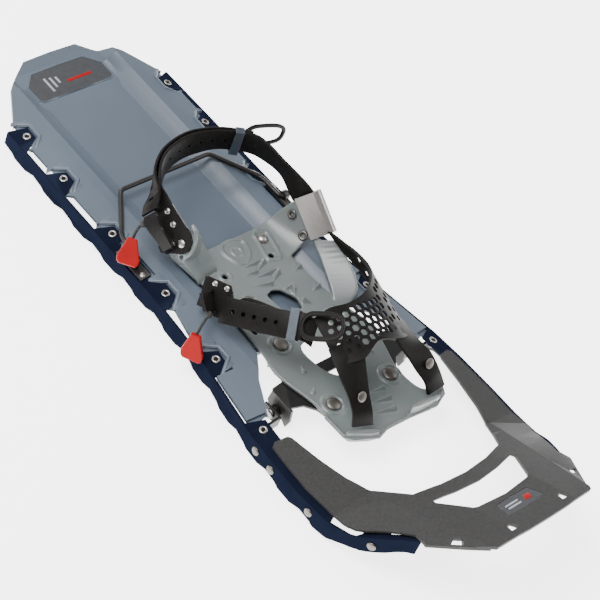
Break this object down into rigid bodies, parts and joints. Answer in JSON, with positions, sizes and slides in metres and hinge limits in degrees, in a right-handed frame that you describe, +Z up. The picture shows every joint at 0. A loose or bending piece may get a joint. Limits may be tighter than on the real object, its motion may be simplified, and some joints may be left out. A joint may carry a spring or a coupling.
{
  "type": "snowshoe",
  "caption": "Single right-foot snowshoe: moulded deck on two toothed steel rails, upturned nose cap, hinged toe binding with crampon and two strap buckles, wire heel lifter.",
  "frame": {"origin": "centre of the footprint on the ground plane under the rail teeth", "axes": "+X to the wearer's right, +Y to the nose, +Z up"},
  "size_m": [0.2044, 0.559, 0.085],
  "materials": {
    "deck_plastic": "fine moulded grain",
    "rail_steel": "satin navy coat",
    "nose_plastic": "coarse moulded grain",
    "badge": "smooth",
    "bright_steel": "satin",
    "dark_rivet": "satin",
    "black_steel": "satin black coat",
    "soft_grey": "smooth, slightly translucent",
    "black_rubber": "satin",
    "black_plastic": "semi-gloss",
    "keeper_plastic": "translucent",
    "red_plastic": "satin",
    "cord_black": "braided"
  },
  "bodies": {
    "frame": {"deck": "deck_plastic", "left_rail": "rail_steel", "right_rail": "rail_steel", "nose_cap": "nose_plastic", "tail_badge": "badge", "nose_badge": "badge", "deck_eyelets": "bright_steel", "rail_rivets": "bright_steel", "left_pivot_bracket": "black_steel", "right_pivot_bracket": "black_steel", "bracket_rivets": "bright_steel", "pivot_pins": "bright_steel", "left_lifter_bracket": "black_steel", "right_lifter_bracket": "black_steel", "lifter_rivets": "bright_steel"},
    "binding": {"crampon": "black_steel", "cradle": "soft_grey", "crampon_rivets": "dark_rivet", "crampon_washers": "bright_steel", "pivot_bushes": "black_plastic", "wing_rivets": "bright_steel", "size_stud": "bright_steel", "strap_clip": "bright_steel", "heel_strap": "black_rubber", "heel_buckle_base": "black_plastic", "heel_buckle_rivets": "bright_steel", "heel_buckle_pin": "bright_steel", "heel_lever_pin": "bright_steel", "toe_strap": "black_rubber", "toe_leg_rivets": "dark_rivet", "toe_strap_tail": "black_rubber", "toe_buckle_base": "black_plastic", "toe_buckle_rivets": "bright_steel", "toe_lever_pin": "bright_steel"},
    "lifter": {"heel_lifter": "black_steel"},
    "heel_lever": {"heel_lever": "black_plastic", "heel_cord": "cord_black", "heel_pull_tab": "red_plastic"},
    "toe_lever": {"toe_lever": "black_plastic", "toe_cord": "cord_black", "toe_pull_tab": "red_plastic"},
    "heel_keeper": {"heel_keeper": "keeper_plastic"},
    "toe_keeper": {"toe_keeper": "keeper_plastic"}
  },
  "joints": [
    {"name": "binding_pivot", "type": "hinge", "parent": "frame", "child": "binding", "pos_m": [0, 0.083, 0.008], "axis": [-1, 0, 0], "range_deg": [0, 60]},
    {"name": "lifter_pivot", "type": "hinge", "parent": "frame", "child": "lifter", "pos_m": [0, -0.071, 0.021], "axis": [-1, 0, 0], "range_deg": [0, 26]},
    {"name": "heel_lever_hinge", "type": "hinge", "parent": "binding", "child": "heel_lever", "pos_m": [0.0606, -0.05907, 0.04169], "axis": [-0.4839, 0.3638, 0.7959], "range_deg": [0, 40]},
    {"name": "toe_lever_hinge", "type": "hinge", "parent": "binding", "child": "toe_lever", "pos_m": [0.06381, -0.00301, 0.03962], "axis": [-0.2399, -0.8277, 0.5073], "range_deg": [0, 35]},
    {"name": "heel_keeper_slide", "type": "slide", "parent": "binding", "child": "heel_keeper", "axis": [0.8026, -0.5961, -0.0222], "range_m": [-0.003, 0.004]},
    {"name": "toe_keeper_slide", "type": "slide", "parent": "binding", "child": "toe_keeper", "axis": [0.4688, -0.7979, -0.379], "range_m": [0, 0.008]}
  ]
}
